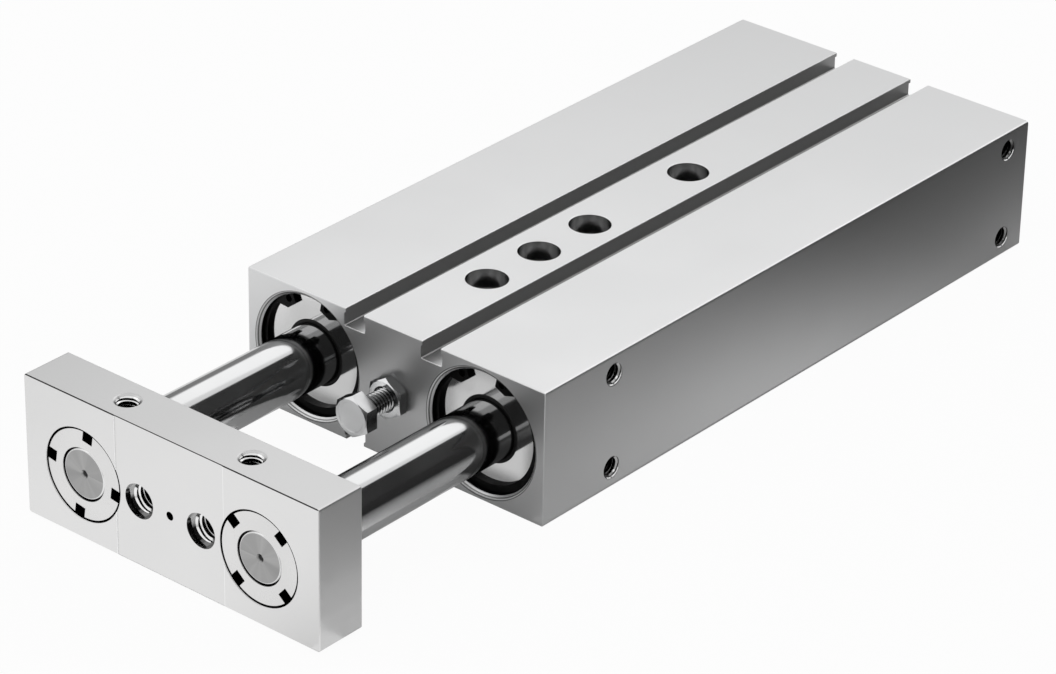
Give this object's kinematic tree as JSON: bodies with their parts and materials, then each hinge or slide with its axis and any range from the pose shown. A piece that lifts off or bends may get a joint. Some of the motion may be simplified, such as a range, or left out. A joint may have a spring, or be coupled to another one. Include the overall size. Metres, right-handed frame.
{
  "type": "double piston cylinder",
  "caption": "Flat pneumatic cylinder with twin pistons whose rods drive a common yoke plate, with sensor slots and an adjustable end stop.",
  "frame": {"origin": "middle of the housing's flat underside", "axes": "+Y along the bores towards the closed rear end, so the yoke is on the -Y side; +Z out of the top face; +X to the right seen from the yoke"},
  "size_m": [0.097, 0.2779, 0.039],
  "materials": {
    "housing_aluminium": "fine satin anodised",
    "bright_aluminium": "turned, bright",
    "piston_aluminium": "turned",
    "yoke_steel": "ground and nickel plated",
    "nut_steel": "ground face",
    "chromed_steel": "hard chromed and polished",
    "zinc_steel": "bright zinc plated",
    "black_spring_steel": "black phosphated",
    "seal_rubber": "smooth black elastomer",
    "bronze": "sintered, oiled",
    "magnet_compound": "plastic bonded magnet",
    "brass": "turned"
  },
  "bodies": {
    "housing": {"housing": "housing_aluminium", "air_channel_plug": "brass", "left_front_gland": "bright_aluminium", "left_guide_bushes": "bronze", "left_rod_wiper": "seal_rubber", "left_rod_seal": "seal_rubber", "left_gland_o_ring": "seal_rubber", "left_front_circlip": "black_spring_steel", "left_front_cushion": "seal_rubber", "left_rear_cap": "bright_aluminium", "left_rear_cap_o_ring": "seal_rubber", "left_rear_circlip": "black_spring_steel", "left_rear_cushion": "seal_rubber", "right_front_gland": "bright_aluminium", "right_guide_bushes": "bronze", "right_rod_wiper": "seal_rubber", "right_rod_seal": "seal_rubber", "right_gland_o_ring": "seal_rubber", "right_front_circlip": "black_spring_steel", "right_front_cushion": "seal_rubber", "right_rear_cap": "bright_aluminium", "right_rear_cap_o_ring": "seal_rubber", "right_rear_circlip": "black_spring_steel", "right_rear_cushion": "seal_rubber"},
    "yoke": {"yoke_plate": "yoke_steel", "left_piston_rod": "chromed_steel", "left_ring_nut": "nut_steel", "left_piston": "piston_aluminium", "left_piston_seals": "seal_rubber", "left_piston_magnet": "magnet_compound", "left_piston_nut": "zinc_steel", "right_piston_rod": "chromed_steel", "right_ring_nut": "nut_steel", "right_piston": "piston_aluminium", "right_piston_seals": "seal_rubber", "right_piston_magnet": "magnet_compound", "right_piston_nut": "zinc_steel"},
    "stop_screw": {"stop_screw": "zinc_steel"},
    "lock_nut": {"stop_lock_nut": "zinc_steel"}
  },
  "joints": [
    {"name": "stroke", "type": "slide", "parent": "housing", "child": "yoke", "axis": [0, -1, 0], "range_m": [-0.048, 0.052]},
    {"name": "stop_adjust", "type": "slide", "parent": "housing", "child": "stop_screw", "axis": [0, 1, 0], "range_m": [0, 0.0075]},
    {"name": "lock_nut_turn", "type": "hinge", "parent": "housing", "child": "lock_nut", "pos_m": [0, -0.1016, 0.0185], "axis": [0, -1, 0], "range_deg": [0, 60]}
  ]
}
